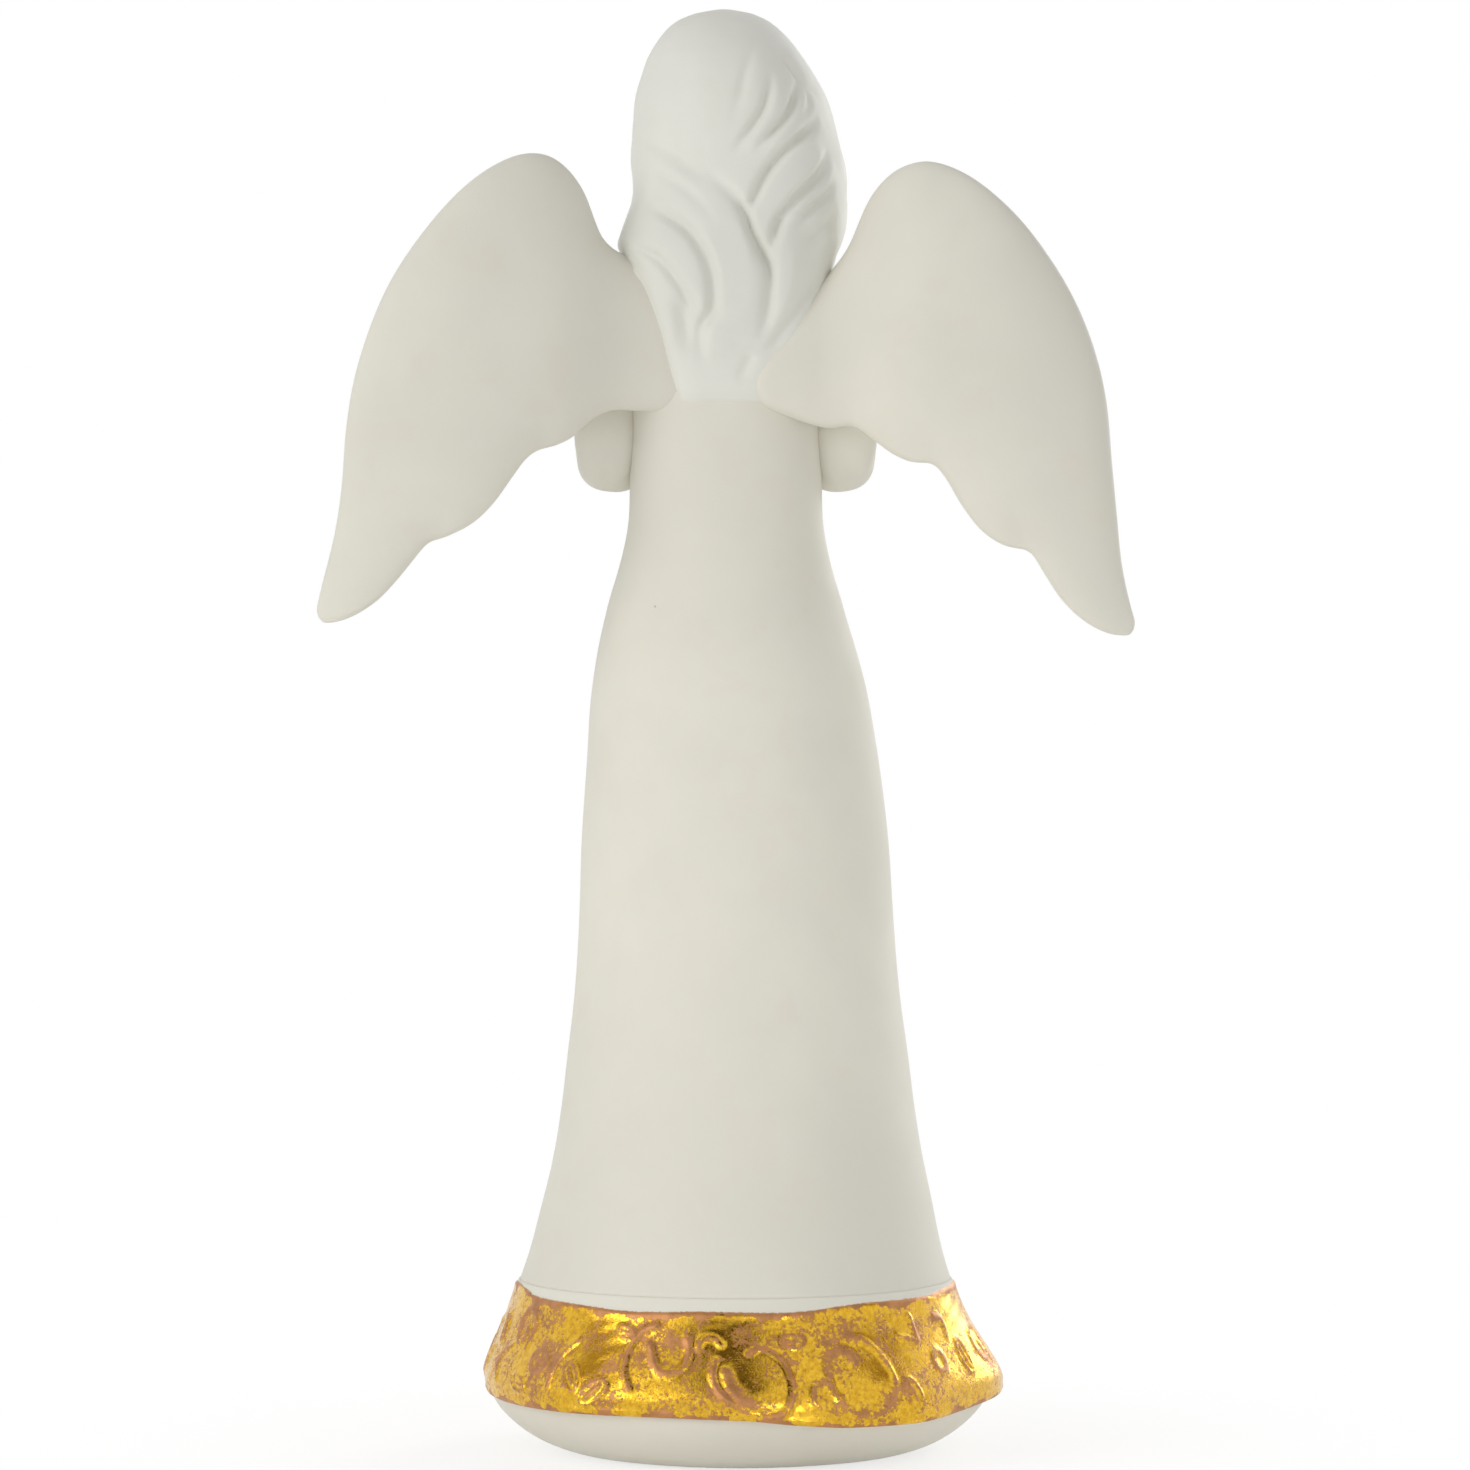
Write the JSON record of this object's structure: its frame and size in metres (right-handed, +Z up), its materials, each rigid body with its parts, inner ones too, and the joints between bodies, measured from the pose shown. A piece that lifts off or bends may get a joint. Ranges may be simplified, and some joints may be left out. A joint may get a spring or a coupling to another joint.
{
  "type": "angel figurine",
  "caption": "Standing robed angel figurine in matt white resin, with pillowed wings, long swept hair, praying hands and an embossed gold-leaf hem above a rounded foot.",
  "frame": {"origin": "centre of the felt pad's underside, the face it stands on", "axes": "+Z up through the figure, -Y the way the figure faces, +X towards the figure's left hand"},
  "size_m": [0.1273, 0.0817, 0.228],
  "materials": {
    "white_resin": "matt bisque-like cast resin",
    "gold_leaf": "worn gold leaf over brown clay on an embossed band",
    "felt": "needled felt",
    "steel_pin": "plain"
  },
  "bodies": {
    "root": {"gown": "white_resin", "hem_ring": "gold_leaf", "foot": "white_resin", "felt_pad": "felt", "head": "white_resin", "neck_dowel": "steel_pin", "hair": "white_resin", "left_wing": "white_resin", "left_arm": "white_resin", "left_hand": "white_resin", "left_wing_lower_pin": "steel_pin", "left_wing_upper_pin": "steel_pin", "left_shoulder_pin": "steel_pin", "right_wing": "white_resin", "right_arm": "white_resin", "right_hand": "white_resin", "right_wing_lower_pin": "steel_pin", "right_wing_upper_pin": "steel_pin", "right_shoulder_pin": "steel_pin"}
  },
  "joints": []
}
